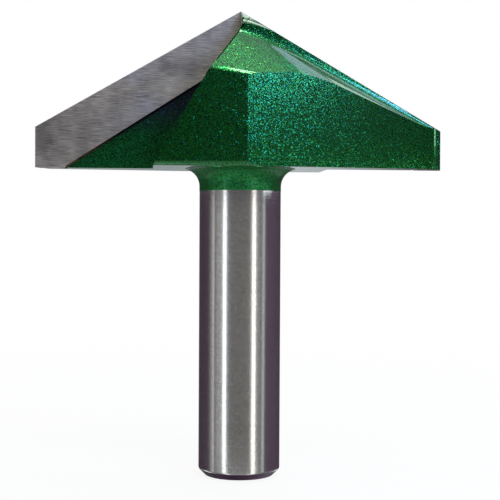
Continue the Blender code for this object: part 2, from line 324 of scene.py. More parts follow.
def outline_solid(name, outline, front, back):
    """A flat outline in X and Z, drawn point by point and then back along Y into a solid."""
    bpy.ops.object.select_all(action="DESELECT")
    x, z = outline[0]
    bpy.ops.mesh.primitive_plane_add(size=0.001, location=(x, front, z))
    item = bpy.context.object
    item.name = name
    bpy.ops.object.transform_apply(location=True, rotation=False, scale=False)
    bpy.ops.object.mode_set(mode="EDIT")
    bpy.ops.mesh.select_mode(type="VERT")
    bpy.ops.mesh.select_all(action="SELECT")
    bpy.ops.mesh.merge(type="CENTER")
    for (x, z), (next_x, next_z) in zip(outline, outline[1:]):
        bpy.ops.mesh.extrude_vertices_move(
            TRANSFORM_OT_translate={"value": (next_x - x, 0, next_z - z)})
    bpy.ops.mesh.select_all(action="SELECT")
    bpy.ops.mesh.edge_face_add()
    bpy.ops.mesh.extrude_region_move(TRANSFORM_OT_translate={"value": (0, back - front, 0)})
    bpy.ops.mesh.select_all(action="SELECT")
    bpy.ops.mesh.normals_make_consistent(inside=False)
    bpy.ops.object.mode_set(mode="OBJECT")
    return item


def half_turn_copy(item):
    pick(item)
    bpy.ops.object.duplicate()
    bpy.ops.object.mode_set(mode="EDIT")
    bpy.ops.mesh.select_all(action="SELECT")
    bpy.ops.transform.rotate(value=math.pi, orient_axis="Z", center_override=(0, 0, 0))
    bpy.ops.object.mode_set(mode="OBJECT")
    return bpy.context.object


def vee_blank(name, radius, tip, bottom):
    """A cone that stands on a short cylinder."""
    corner = tip - radius * EDGE_SLOPE
    bpy.ops.object.select_all(action="DESELECT")
    bpy.ops.mesh.primitive_cone_add(vertices=SHANK_SIDES, radius1=radius, radius2=0,
                                    depth=tip - corner, location=(0, 0, (tip + corner) / 2))
    item = bpy.context.object
    item.name = name
    bpy.ops.object.transform_apply(location=True, rotation=False, scale=False)
    bpy.ops.object.mode_set(mode="EDIT")
    bpy.ops.mesh.select_mode(type="FACE")
    bpy.ops.mesh.select_all(action="DESELECT")
    shape = bmesh.from_edit_mesh(item.data)
    for face in shape.faces:
        face.select = face.normal.z < -0.9
    bmesh.update_edit_mesh(item.data)
    bpy.ops.mesh.extrude_region_move(TRANSFORM_OT_translate={"value": (0, 0, bottom - corner)})
    bpy.ops.object.mode_set(mode="OBJECT")
    return item


def hub_normal(side):
    """Which way the flat of the hub looks on one side; 1 is the side of the camera."""
    return (0, -side, 0)


def heel_normal(side):
    return (side * math.sin(HEEL_ANGLE), -side * math.cos(HEEL_ANGLE), 0)


def end_normal(side):
    return (side * math.cos(END_CLEARANCE), -side * math.sin(END_CLEARANCE), 0)


head = vee_blank("painted_head", STEEL_RADIUS, STEEL_TIP, UNDERSIDE)

# The lands, the wings' ends, the flats across the hub and the heel behind each wing
land_fall = math.tan(LAND_CLEARANCE)
for side in (1, -1):
    cut_off(head, (0, 0, STEEL_TIP), (side * EDGE_SLOPE, -side * land_fall, 1))
for side in (1, -1):
    cut_off(head, (side * STEEL_RADIUS, 0, 0), end_normal(side))
for side in (1, -1):
    cut_off(head, (0, -side * HUB_FACE, 0), hub_normal(side))
    cut_off(head, (side * HEEL_START, -side * HUB_FACE, 0), heel_normal(side))

# The cuts leave two points almost together where a hub's flat runs out at the wing's end
near_end = 0.028
almost_together = 0.0003
pick(head)
bpy.ops.object.mode_set(mode="EDIT")
bpy.ops.mesh.select_mode(type="VERT")
bpy.ops.mesh.select_all(action="DESELECT")
shape = bmesh.from_edit_mesh(head.data)
for point in shape.verts:
    point.select = abs(abs(point.co.y) - HUB_FACE) < 0.0004 and abs(point.co.x) > near_end
bmesh.update_edit_mesh(head.data)
bpy.ops.mesh.remove_doubles(threshold=almost_together)
bpy.ops.object.mode_set(mode="OBJECT")
for side in (1, -1):
    round_edges(head, PAINTED_ROUND, 4, between(heel_normal(side), end_normal(side)))
    round_edges(head, HUB_FOOT_ROUND, 6, between(hub_normal(side), DOWN))
    round_edges(head, PAINTED_ROUND, 4, between(heel_normal(side), DOWN))

# The collar flows out of the shank into the underside
collar_radius = SHANK_RADIUS + COLLAR_STANDS_PROUD
collar_sweep = math.radians(79)
collar_steps = 16
collar_profile = [(collar_radius, PAINT_LINE)]
for step in range(collar_steps + 1):
    angle = collar_sweep * step / collar_steps
    collar_profile.append((collar_radius + COLLAR_FILLET * (1 - math.cos(angle)),
                           UNDERSIDE - COLLAR_FILLET * (1 - math.sin(angle))))
collar_profile.append((collar_profile[-1][0], UNDERSIDE + HEAD_SIDE / 2))
collar = turned("collar", collar_profile, SHANK_SIDES)
join_or_carve(head, collar, "UNION")

# What is milled away in front of each edge: chip space, seat and the relief beside it.
# The three cutters reach past the wing by different amounts, so that no two sides of
# theirs lie in one plane.
GASH_FLOOR = 0.0006
GASH_FRONT = -0.030
GASH_REACH = -0.050
GASH_INSIDE = -0.0055
GASH_WALL_SLOPE = 1.675
SEAT_FRONT = -0.032
SEAT_REACH = -0.052
SEAT_GAP = 0.0003
PAST_AXIS = 0.0001
TURN_ROUND = 0.0012
PLATE_THICKNESS = 0.0022
RELIEF_FRONT = -0.034
RELIEF_REACH = -0.034
HUB_RELIEF_RISE = 0.01305
WING_RELIEF_DROP = 0.0028
ROLLED_ROUND = 0.0027
RELIEF_FOOT_ROUND = 0.0007
lower_slope = 0.641
lower_start = TIP_HEIGHT - 0.00657
wall_slope = 1.39
wall_start = TIP_HEIGHT - 0.00256


def lower_edge(x, clearance):
    """Height of the plate's lower edge, moved down square to itself by a clearance."""
    return lower_start - clearance * math.hypot(1, lower_slope) + lower_slope * x


def seat_wall(z, clearance):
    """Where the seat's inner wall stands at a height, moved towards the wing."""
    return (z - wall_start - clearance * math.hypot(1, wall_slope)) / wall_slope


def seat_corner(clearance_below, clearance_beside):
    """Where the lower edge meets the inner wall."""
    low, high = UNDERSIDE, TIP_HEIGHT
    for halving in range(60):
        z = (low + high) / 2
        if lower_edge(seat_wall(z, clearance_beside), clearance_below) > z:
            low = z
        else:
            high = z
    return seat_wall(z, clearance_beside), z


gash_top = TIP_HEIGHT + 0.03
seat_top = gash_top + 0.002
relief_top = gash_top + 0.004
foot = (-0.01405, UNDERSIDE - 0.00255)
knee = (-0.01165, UNDERSIDE + 0.00255)
inside_seat = (GASH_INSIDE, knee[1] + (GASH_INSIDE - knee[0]) * GASH_WALL_SLOPE)
gash = outline_solid("gash", [(GASH_REACH, foot[1]), foot, knee, inside_seat,
                              (GASH_INSIDE, gash_top), (GASH_REACH, gash_top)],
                     GASH_FRONT, GASH_FLOOR)
round_edges(gash, PAINTED_ROUND, 4, lambda a, b, edge: looks_along(a, (0, 1, 0))
            and b.normal.x > 0.1 > abs(b.normal.y))
corner = seat_corner(SEAT_GAP, 0)
seat = outline_solid("seat", [(SEAT_REACH, lower_edge(SEAT_REACH, SEAT_GAP)), corner,
                              (PAST_AXIS, wall_start + PAST_AXIS * wall_slope),
                              (PAST_AXIS, seat_top), (SEAT_REACH, seat_top)],
                     SEAT_FRONT, PLATE_THICKNESS + SEAT_GAP)


def upright_corner(a, b, edge):
    """The edge along Y where the inner wall turns straight up, close to the axis."""
    x, _, z = (edge.verts[0].co + edge.verts[1].co) / 2
    return abs(a.normal.y) < 0.1 > abs(b.normal.y) and x > -0.0005 and z < TIP_HEIGHT


round_edges(seat, TURN_ROUND, 8, upright_corner)

# The relief is what lies above two slopes, with a broad rolled edge between them
hub_relief = Vector((0.165, -1.476, 1)).normalized()
wing_relief = Vector((0.530, -0.644, 1)).normalized()
slope = block((-0.12, -0.12, -0.06), (0.12, 0.06, 0.18))
cut_off(slope, (0, -HUB_FACE, UNDERSIDE + HUB_RELIEF_RISE), hub_relief)
cut_off(slope, (0, -LAND_WIDTH, TIP_HEIGHT - WING_RELIEF_DROP), wing_relief)
round_edges(slope, ROLLED_ROUND, 12, between(hub_relief, wing_relief))
relief = block((RELIEF_REACH, RELIEF_FRONT, 0), (0.06, -LAND_WIDTH, relief_top))
join_or_carve(relief, slope, "DIFFERENCE")
round_edges(relief, RELIEF_FOOT_ROUND, 8, lambda a, b, edge: looks_along(a, (0, 1, 0))
            and b.normal.y > 0.1 and b.normal.z < -0.1)
join_or_carve(gash, seat, "UNION")
join_or_carve(gash, relief, "UNION")
second_gash = half_turn_copy(gash)
join_or_carve(head, gash, "DIFFERENCE")
join_or_carve(head, second_gash, "DIFFERENCE")
for side in (1, -1):
    crest_normal = (side * hub_relief.x, side * hub_relief.y, hub_relief.z)
    round_edges(head, CREST_ROUND, 5, between(crest_normal, hub_normal(side)))
broken = head.modifiers.new("Broken edges", "BEVEL")
broken.limit_method = "ANGLE"
broken.angle_limit = math.radians(25)
broken.width = BROKEN_EDGE
broken.segments = 2
bpy.context.view_layer.objects.active = head
bpy.ops.object.modifier_apply(modifier=broken.name)

# Metal flakes in the paint: each cell is one flake or a spot of lacquer between flakes
flakes, flakes_in, flakes_out = new_group(
    "metal_flakes", [("Vector", "v"), ("Flakes per Metre", "f"), ("Tilt", "f")],
    [("Flake", "f"), ("Tone", "f"), ("Normal", "v")])
cells = node(flakes, "ShaderNodeTexVoronoi", feature="F1")
centred = node(flakes, "ShaderNodeVectorMath", operation="SUBTRACT")
centred.inputs[1].default_value = (0.5, 0.5, 0.5)
tilted = node(flakes, "ShaderNodeVectorMath", operation="SCALE")
lying_flat = node(flakes, "ShaderNodeTexWhiteNoise", noise_dimensions="3D")
by_chance = node(flakes, "ShaderNodeMath", operation="MULTIPLY")
surface = node(flakes, "ShaderNodeNewGeometry")
added = node(flakes, "ShaderNodeVectorMath", operation="ADD")
unit = node(flakes, "ShaderNodeVectorMath", operation="NORMALIZE")
parts = node(flakes, "ShaderNodeSeparateColor")
flakes.links.new(flakes_in.outputs["Vector"], cells.inputs["Vector"])
flakes.links.new(flakes_in.outputs["Flakes per Metre"], cells.inputs["Scale"])
flakes.links.new(cells.outputs["Color"], centred.inputs[0])
flakes.links.new(centred.outputs[0], tilted.inputs[0])
flakes.links.new(cells.outputs["Position"], lying_flat.inputs["Vector"])
flakes.links.new(lying_flat.outputs["Value"], by_chance.inputs[0])
flakes.links.new(flakes_in.outputs["Tilt"], by_chance.inputs[1])
flakes.links.new(by_chance.outputs[0], tilted.inputs["Scale"])
flakes.links.new(surface.outputs["Normal"], added.inputs[0])
flakes.links.new(tilted.outputs[0], added.inputs[1])
flakes.links.new(added.outputs[0], unit.inputs[0])
flakes.links.new(cells.outputs["Color"], parts.inputs["Color"])
flakes.links.new(parts.outputs[0], flakes_out.inputs["Flake"])
flakes.links.new(parts.outputs[1], flakes_out.inputs["Tone"])
flakes.links.new(unit.outputs[0], flakes_out.inputs["Normal"])

paint, tree, shader = new_material("green_flake_paint")
shader.inputs["Specular IOR Level"].default_value = 0.1
shader.inputs["Coat Roughness"].default_value = 0.05
place = node(tree, "ShaderNodeTexCoord")
flake = node(tree, "ShaderNodeGroup", node_tree=flakes, Flakes_per_Metre=10500.0, Tilt=0.36)
is_flake = node(tree, "ShaderNodeMapRange", From_Min=0.38, From_Max=0.42)
edge_on = node(tree, "ShaderNodeLayerWeight", Blend=0.5)
sunk = node(tree, "ShaderNodeMapRange", From_Min=0.28, From_Max=0.42, To_Min=1.0, To_Max=0.35)
metal = node(tree, "ShaderNodeMath", operation="MULTIPLY")
lacquer = node(tree, "ShaderNodeMix", data_type="RGBA")
lacquer.inputs["A"].default_value = (0.0022, 0.042, 0.0028, 1)
lacquer.inputs["B"].default_value = (0.0036, 0.062, 0.0045, 1)
glint = node(tree, "ShaderNodeMix", data_type="RGBA")
glint.inputs["A"].default_value = (0.045, 0.31, 0.03, 1)
glint.inputs["B"].default_value = (0.015, 0.34, 0.16, 1)
# Painted reflection: a lighter, bluer green for the floor of each chip space
chip_space_painted_glow = node(tree, "ShaderNodeMix", data_type="RGBA")
chip_space_painted_glow.inputs["B"].default_value = (0.004, 0.082, 0.020, 1)
colour = node(tree, "ShaderNodeMix", data_type="RGBA")
tree.links.new(place.outputs["Object"], flake.inputs["Vector"])
tree.links.new(flake.outputs["Flake"], is_flake.inputs["Value"])
tree.links.new(edge_on.outputs["Facing"], sunk.inputs["Value"])
tree.links.new(is_flake.outputs["Result"], metal.inputs[0])
tree.links.new(sunk.outputs["Result"], metal.inputs[1])
tree.links.new(flake.outputs["Tone"], lacquer.inputs["Factor"])
tree.links.new(flake.outputs["Tone"], glint.inputs["Factor"])
tree.links.new(metal.outputs[0], colour.inputs["Factor"])
tree.links.new(lacquer.outputs["Result"], chip_space_painted_glow.inputs["A"])
tree.links.new(chip_space_painted_glow.outputs["Result"], colour.inputs["A"])
tree.links.new(glint.outputs["Result"], colour.inputs["B"])

# In each chip space the floor is painted a lighter, bluer green: painted reflection. High up
# there, beside the plate, it is painted blue-black: painted shade, with blue flakes as painted
# reflection.
apart = node(tree, "ShaderNodeSeparateXYZ")
sideways = node(tree, "ShaderNodeMath", operation="ABSOLUTE")
in_chip_space = node(tree, "ShaderNodeMapRange", From_Min=2 * GASH_FLOOR,
                     From_Max=1.5 * GASH_FLOOR)
height = node(tree, "ShaderNodeMapRange", From_Min=0.0495, From_Max=0.0545)
patchy = node(tree, "ShaderNodeTexNoise", Scale=700.0, Detail=2.0)
uneven = node(tree, "ShaderNodeMapRange", From_Min=0.3, From_Max=0.7, To_Min=0.8, To_Max=1.0)
# Painted shade: blue-black high up in each chip space, beside the plate
high_in_chip_space = node(tree, "ShaderNodeMath", operation="MULTIPLY")
chip_space_painted_shade = node(tree, "ShaderNodeMath", operation="MULTIPLY")
painted_shade_tint = node(tree, "ShaderNodeMix", data_type="RGBA")
painted_shade_tint.inputs["A"].default_value = (0.0035, 0.004, 0.008, 1)
painted_shade_tint.inputs["B"].default_value = (0.20, 0.22, 0.50, 1)
shade_painted_on = node(tree, "ShaderNodeMix", data_type="RGBA")
tree.links.new(place.outputs["Object"], apart.inputs[0])
tree.links.new(apart.outputs["Y"], sideways.inputs[0])
tree.links.new(sideways.outputs[0], in_chip_space.inputs["Value"])
tree.links.new(in_chip_space.outputs["Result"], chip_space_painted_glow.inputs["Factor"])
tree.links.new(apart.outputs["Z"], height.inputs["Value"])
tree.links.new(place.outputs["Object"], patchy.inputs["Vector"])
tree.links.new(patchy.outputs["Fac"], uneven.inputs["Value"])
tree.links.new(in_chip_space.outputs["Result"], high_in_chip_space.inputs[0])
tree.links.new(height.outputs["Result"], high_in_chip_space.inputs[1])
tree.links.new(high_in_chip_space.outputs[0], chip_space_painted_shade.inputs[0])
tree.links.new(uneven.outputs["Result"], chip_space_painted_shade.inputs[1])
tree.links.new(metal.outputs[0], painted_shade_tint.inputs["Factor"])
tree.links.new(chip_space_painted_shade.outputs[0], shade_painted_on.inputs["Factor"])
tree.links.new(colour.outputs["Result"], shade_painted_on.inputs["A"])
tree.links.new(painted_shade_tint.outputs["Result"], shade_painted_on.inputs["B"])

# A thin black line is painted along the inner wall of each seat: painted shade where the wall
# meets the relief
across_wall = math.hypot(1, wall_slope)
which_wing = node(tree, "ShaderNodeMath", operation="SIGN")
turned_x = node(tree, "ShaderNodeMath", operation="MULTIPLY")
from_axis = node(tree, "ShaderNodeMath", operation="MULTIPLY_ADD")
from_axis.inputs[1].default_value = -wall_slope / across_wall
from_axis.inputs[2].default_value = wall_start / across_wall
from_wall = node(tree, "ShaderNodeMath", operation="MULTIPLY_ADD")
from_wall.inputs[1].default_value = -1 / across_wall
off_middle = node(tree, "ShaderNodeMath", operation="SUBTRACT")
off_middle.inputs[1].default_value = 0.00011
either_side = node(tree, "ShaderNodeMath", operation="ABSOLUTE")
narrow = node(tree, "ShaderNodeMapRange", From_Min=0.00010, From_Max=0.00007)
high_up = node(tree, "ShaderNodeMapRange", From_Min=0.0596, From_Max=0.0602)
painted_shade_factor = node(tree, "ShaderNodeMath", operation="MULTIPLY")
shade_line_painted = node(tree, "ShaderNodeMix", data_type="RGBA")
shade_line_painted.inputs["B"].default_value = (0.002, 0.003, 0.002, 1)
tree.links.new(apart.outputs["Y"], which_wing.inputs[0])
tree.links.new(apart.outputs["X"], turned_x.inputs[0])
tree.links.new(which_wing.outputs[0], turned_x.inputs[1])
tree.links.new(turned_x.outputs[0], from_axis.inputs[0])
tree.links.new(apart.outputs["Z"], from_wall.inputs[0])
tree.links.new(from_axis.outputs[0], from_wall.inputs[2])
tree.links.new(from_wall.outputs[0], off_middle.inputs[0])
tree.links.new(off_middle.outputs[0], either_side.inputs[0])
tree.links.new(either_side.outputs[0], narrow.inputs["Value"])
tree.links.new(apart.outputs["Z"], high_up.inputs["Value"])
tree.links.new(narrow.outputs["Result"], painted_shade_factor.inputs[0])
tree.links.new(high_up.outputs["Result"], painted_shade_factor.inputs[1])
tree.links.new(painted_shade_factor.outputs[0], shade_line_painted.inputs["Factor"])
tree.links.new(shade_painted_on.outputs["Result"], shade_line_painted.inputs["A"])
tree.links.new(shade_line_painted.outputs["Result"], shader.inputs["Base Color"])

# On the collar, below the underside, the paint is thin and has dried matt
just_below = UNDERSIDE - 0.0002
glossy = node(tree, "ShaderNodeMapRange", From_Min=just_below, From_Max=UNDERSIDE,
              To_Min=0.12, To_Max=0.9)
matt = node(tree, "ShaderNodeMapRange", From_Min=just_below, From_Max=UNDERSIDE,
            To_Min=0.5, To_Max=0.2)
# The painted shade line also loses most of its coat, so that it stays dark
coat_off_shade_line = node(tree, "ShaderNodeMath", operation="MULTIPLY_ADD")
coat_off_shade_line.inputs[1].default_value = -0.9
coat_off_shade_line.inputs[2].default_value = 1.0
coat = node(tree, "ShaderNodeMath", operation="MULTIPLY")
tree.links.new(apart.outputs["Z"], glossy.inputs["Value"])
tree.links.new(painted_shade_factor.outputs[0], coat_off_shade_line.inputs[0])
tree.links.new(glossy.outputs["Result"], coat.inputs[0])
tree.links.new(coat_off_shade_line.outputs[0], coat.inputs[1])
tree.links.new(coat.outputs[0], shader.inputs["Coat Weight"])
tree.links.new(apart.outputs["Z"], matt.inputs["Value"])
tree.links.new(matt.outputs["Result"], shader.inputs["Roughness"])
tree.links.new(metal.outputs[0], shader.inputs["Metallic"])
tree.links.new(flake.outputs["Normal"], shader.inputs["Normal"])
head.data.materials.append(paint)

finish_surface(head, 35, 6e-6)
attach(head, "root")
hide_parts("bit_body")

# ---------------------------------------------------------------- Carbide plates
# Two plates of sintered tungsten carbide, brazed into their seats. Face, land and end
# are ground after brazing, with the lines of the grinding wheel left along the face.
PLATE_FACE = 0.00001
PLATE_MEETS_AXIS = 0.00004
PLATE_BESIDE_WALL = 0.00013
PLATE_CORNER_ROUND = 0.0005
PLATE_END_CLEARANCE = math.radians(14)
PAST_WING = -0.032


def carbide_plate(name):
    """The left plate: an outline with two rounded corners, ground to the vee and its end."""
    corner = seat_corner(0, PLATE_BESIDE_WALL)
    turn = (PLATE_MEETS_AXIS, wall_start + PLATE_MEETS_AXIS * wall_slope
            - PLATE_BESIDE_WALL * math.hypot(1, wall_slope))
    plate_top = TIP_HEIGHT + 0.001
    outline = [(PAST_WING, UNDERSIDE), ((UNDERSIDE - lower_start) / lower_slope, UNDERSIDE),
               corner, turn, (PLATE_MEETS_AXIS, plate_top), (PAST_WING, plate_top)]
    item = outline_solid(name, outline, PLATE_FACE, PLATE_THICKNESS)
    round_edges(item, TURN_ROUND, 8, upright_corner)
    round_edges(item, PLATE_CORNER_ROUND, 5,
                lambda a, b, edge: abs(a.normal.y) < 0.1 > abs(b.normal.y)
                and abs(edge.verts[0].co.x - corner[0]) < 0.0001)
    vee = vee_blank("ground_vee", HEAD_RADIUS, TIP_HEIGHT, 0)
    join_or_carve(item, vee, "INTERSECT")
    cut_off(item, (0, 0, TIP_HEIGHT), (-EDGE_SLOPE, land_fall, 1))
    cut_off(item, (-HEAD_RADIUS, 0, 0),
            (-math.cos(PLATE_END_CLEARANCE), math.sin(PLATE_END_CLEARANCE), 0))
    return item


left_plate = carbide_plate("carbide_plate_left")
right_plate = half_turn_copy(left_plate)
right_plate.name = "carbide_plate_right"

carbide, tree, shader = new_material("ground_carbide")
shader.inputs["Metallic"].default_value = 0.6
shader.inputs["Anisotropic"].default_value = 0.5
place = node(tree, "ShaderNodeTexCoord")
lines = node(tree, "ShaderNodeGroup", node_tree=grind, Stretch=(450, 450, 11000), Depth=1.0)
contrast = node(tree, "ShaderNodeMapRange", From_Min=0.36, From_Max=0.64)
tint = node(tree, "ShaderNodeMix", data_type="RGBA")
tint.inputs["A"].default_value = (0.262, 0.238, 0.220, 1)
tint.inputs["B"].default_value = (0.69, 0.635, 0.575, 1)
clouds = node(tree, "ShaderNodeMapRange", From_Min=0.36, From_Max=0.6, To_Min=0.66, To_Max=1.08)
apart = node(tree, "ShaderNodeSeparateXYZ")
sideways = node(tree, "ShaderNodeMath", operation="ABSOLUTE")
# Painted light: the face is painted lighter near the axis and darker out towards the wing's end
painted_light_falloff = node(tree, "ShaderNodeMapRange", From_Min=0.004, From_Max=0.028,
                       To_Min=1.16, To_Max=0.78)
blotches_and_painted_falloff = node(tree, "ShaderNodeMath", operation="MULTIPLY")
plate_colour_and_painted_falloff = node(tree, "ShaderNodeVectorMath", operation="SCALE")
rough = node(tree, "ShaderNodeMapRange", From_Min=0.3, From_Max=0.7, To_Min=0.34, To_Max=0.5)
bump = node(tree, "ShaderNodeBump", Strength=0.3, Distance=0.00002)
along = node(tree, "ShaderNodeTangent", direction_type="RADIAL", axis="Y")
tree.links.new(place.outputs["Object"], lines.inputs["Vector"])
tree.links.new(lines.outputs["Lines"], contrast.inputs["Value"])
tree.links.new(contrast.outputs["Result"], tint.inputs["Factor"])
tree.links.new(lines.outputs["Blotches"], clouds.inputs["Value"])
tree.links.new(tint.outputs["Result"], plate_colour_and_painted_falloff.inputs[0])
tree.links.new(place.outputs["Object"], apart.inputs[0])
tree.links.new(apart.outputs["X"], sideways.inputs[0])
tree.links.new(sideways.outputs[0], painted_light_falloff.inputs["Value"])
tree.links.new(clouds.outputs["Result"], blotches_and_painted_falloff.inputs[0])
tree.links.new(painted_light_falloff.outputs["Result"], blotches_and_painted_falloff.inputs[1])
tree.links.new(blotches_and_painted_falloff.outputs[0], plate_colour_and_painted_falloff.inputs["Scale"])
tree.links.new(plate_colour_and_painted_falloff.outputs[0], shader.inputs["Base Color"])
tree.links.new(lines.outputs["Lines"], rough.inputs["Value"])
tree.links.new(rough.outputs["Result"], shader.inputs["Roughness"])
tree.links.new(lines.outputs["Lines"], bump.inputs["Height"])
tree.links.new(bump.outputs["Normal"], shader.inputs["Normal"])
tree.links.new(along.outputs["Tangent"], shader.inputs["Tangent"])
for item, cad_node in ((left_plate, "carbide_tip_left"), (right_plate, "carbide_tip_right")):
    item.data.materials.append(carbide)
    item.data.materials.append(paint)
    facing = 1 if item is left_plate else -1
    land = Vector((-EDGE_SLOPE * facing, land_fall * facing, 1)).normalized()
    for face in item.data.polygons:
        cone_side = face.normal.z > 0.5 and face.normal.dot(land) < 0.999
        plate_back = face.normal.y * facing > 0.9
        if cone_side or plate_back:
            face.material_index = 1
    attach(item, "root")
    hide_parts(cad_node)

# ---------------------------------------------------------------- Braze
# A thin layer of silver-bearing brass that holds each plate in its seat: it shows as a fine
# golden line under the plate, painted dark as painted shade where the chip space closes in.
HAIR = 0.00002
BRAZE_BESIDE_WALL = 0.00008
BRAZE_FROM_AXIS = -0.0003
BRAZE_SET_BACK = 0.0003
BRAZE_PAST_TIP = 0.00001
BRAZE_FROM_END = 0.0001
BRAZE_FROM_UNDERSIDE = 0.0002
BRAZE_BELOW_TURN = 0.0006
ROOM_BESIDE_WALL = -0.0012
ROOM_FRONT = -0.002
ROOM_PAST_AXIS = 0.002


def braze_layer(name):
    """The left layer: it fills the seat a hair short of the steel, less the plate's room."""
    below = SEAT_GAP - HAIR
    corner = seat_corner(below, BRAZE_BESIDE_WALL)
    item = outline_solid(name, [(PAST_WING, lower_edge(PAST_WING, below)), corner,
                                (BRAZE_FROM_AXIS, wall_start - BRAZE_BELOW_TURN),
                                (BRAZE_FROM_AXIS, TIP_HEIGHT), (PAST_WING, TIP_HEIGHT)],
                         BRAZE_SET_BACK, PLATE_THICKNESS + below)
    braze_tip = STEEL_TIP + BRAZE_PAST_TIP
    blank = vee_blank("flush_with_steel", STEEL_RADIUS - BRAZE_FROM_END, braze_tip,
                      UNDERSIDE + BRAZE_FROM_UNDERSIDE)
    join_or_carve(item, blank, "INTERSECT")
    cut_off(item, (0, 0, braze_tip), (-EDGE_SLOPE, land_fall, 1))
    cut_off(item, (BRAZE_FROM_END - STEEL_RADIUS, 0, 0), end_normal(-1))
    room_top = TIP_HEIGHT + 0.01
    room = outline_solid("plate_room", [(GASH_REACH, lower_edge(GASH_REACH, HAIR)),
                                        seat_corner(HAIR, ROOM_BESIDE_WALL),
                                        (ROOM_PAST_AXIS, TIP_HEIGHT),
                                        (ROOM_PAST_AXIS, room_top), (GASH_REACH, room_top)],
                         ROOM_FRONT, PLATE_THICKNESS + HAIR)
    join_or_carve(item, room, "DIFFERENCE")
    return item


left_braze = braze_layer("braze_left")
right_braze = half_turn_copy(left_braze)
right_braze.name = "braze_right"

brass, tree, shader = new_material("braze_metal")
shader.inputs["Metallic"].default_value = 0.85
place = node(tree, "ShaderNodeTexCoord")
apart = node(tree, "ShaderNodeSeparateXYZ")
sideways = node(tree, "ShaderNodeMath", operation="ABSOLUTE")
# Painted shade: the braze turns dark towards the axis, where the chip space closes in
painted_shade_factor = node(tree, "ShaderNodeMapRange", From_Min=0.0185, From_Max=0.0245)
patchy = node(tree, "ShaderNodeTexNoise", Scale=1500.0, Detail=3.0)
wetted = node(tree, "ShaderNodeMapRange", From_Min=0.3, From_Max=0.7, To_Min=0.4, To_Max=1.0)
golden_out_of_shade = node(tree, "ShaderNodeMath", operation="MULTIPLY")
tint = node(tree, "ShaderNodeMix", data_type="RGBA")
tint.inputs["A"].default_value = (0.012, 0.010, 0.009, 1)
tint.inputs["B"].default_value = (0.24, 0.15, 0.06, 1)
rough = node(tree, "ShaderNodeMapRange", From_Min=0.3, From_Max=0.7, To_Min=0.35, To_Max=0.55)
tree.links.new(place.outputs["Object"], apart.inputs[0])
tree.links.new(place.outputs["Object"], patchy.inputs["Vector"])
tree.links.new(apart.outputs["X"], sideways.inputs[0])
tree.links.new(sideways.outputs[0], painted_shade_factor.inputs["Value"])
tree.links.new(patchy.outputs["Fac"], wetted.inputs["Value"])
tree.links.new(painted_shade_factor.outputs["Result"], golden_out_of_shade.inputs[0])
tree.links.new(wetted.outputs["Result"], golden_out_of_shade.inputs[1])
tree.links.new(golden_out_of_shade.outputs[0], tint.inputs["Factor"])
tree.links.new(tint.outputs["Result"], shader.inputs["Base Color"])
tree.links.new(patchy.outputs["Fac"], rough.inputs["Value"])
tree.links.new(rough.outputs["Result"], shader.inputs["Roughness"])
for item in (left_braze, right_braze):
    item.data.materials.append(brass)
    item.data.materials.append(paint)
    for face in item.data.polygons:
        if face.normal.z > 0.5:
            face.material_index = 1
    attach(item, "root")

# ---------------------------------------------------------------- Studio
# A pale floor that fades into white, soft lamps above and behind, and round the bit a
# tent whose bright strips and dark cloths show in the steel and light nothing.
bpy.ops.object.select_all(action="DESELECT")
bpy.ops.mesh.primitive_plane_add(size=4.0, location=(0, 0, -0.0001))
floor = bpy.context.object
floor.name = "studio_floor"
ground, tree, shader = new_material("studio_floor")
shader.inputs["Base Color"].default_value = (0.8, 0.8, 0.8, 1)
shader.inputs["Roughness"].default_value = 0.7
shader.inputs["Specular IOR Level"].default_value = 0.1
seen = node(tree, "ShaderNodeLightPath")
white = node(tree, "ShaderNodeEmission")
place = node(tree, "ShaderNodeTexCoord")
away = node(tree, "ShaderNodeVectorMath", operation="LENGTH")
fade = node(tree, "ShaderNodeMapRange", From_Min=0.02, From_Max=0.25, To_Min=0.9, To_Max=1.0)
straight = node(tree, "ShaderNodeMath", operation="MULTIPLY")
mixed = node(tree, "ShaderNodeMixShader")
output = tree.nodes["Material Output"]
tree.links.new(place.outputs["Object"], away.inputs[0])
tree.links.new(away.outputs["Value"], fade.inputs["Value"])
tree.links.new(fade.outputs["Result"], straight.inputs[1])
tree.links.new(seen.outputs["Is Camera Ray"], straight.inputs[0])
tree.links.new(straight.outputs[0], mixed.inputs["Fac"])
tree.links.new(shader.outputs[0], mixed.inputs[1])
tree.links.new(white.outputs[0], mixed.inputs[2])
tree.links.new(mixed.outputs[0], output.inputs["Surface"])
floor.data.materials.append(ground)
floor.visible_glossy = False

world = bpy.data.worlds.new("studio")
bpy.context.scene.world = world
world.use_nodes = True
tree = world.node_tree
seen = node(tree, "ShaderNodeLightPath")
either = node(tree, "ShaderNodeMath", operation="MAXIMUM")
any_way = node(tree, "ShaderNodeMath", operation="MAXIMUM")
soft = tree.nodes["Background"]
soft.inputs["Color"].default_value = (1, 1, 1, 1)
soft.inputs["Strength"].default_value = 0.55
white = node(tree, "ShaderNodeBackground", Color=(1, 1, 1, 1), Strength=1.0)
mixed = node(tree, "ShaderNodeMixShader")
tree.links.new(seen.outputs["Is Camera Ray"], either.inputs[0])
tree.links.new(seen.outputs["Is Glossy Ray"], either.inputs[1])
tree.links.new(either.outputs[0], any_way.inputs[0])
tree.links.new(seen.outputs["Is Transmission Ray"], any_way.inputs[1])
tree.links.new(any_way.outputs[0], mixed.inputs["Fac"])
tree.links.new(soft.outputs[0], mixed.inputs[1])
tree.links.new(white.outputs[0], mixed.inputs[2])
tree.links.new(mixed.outputs[0], tree.nodes["World Output"].inputs["Surface"])

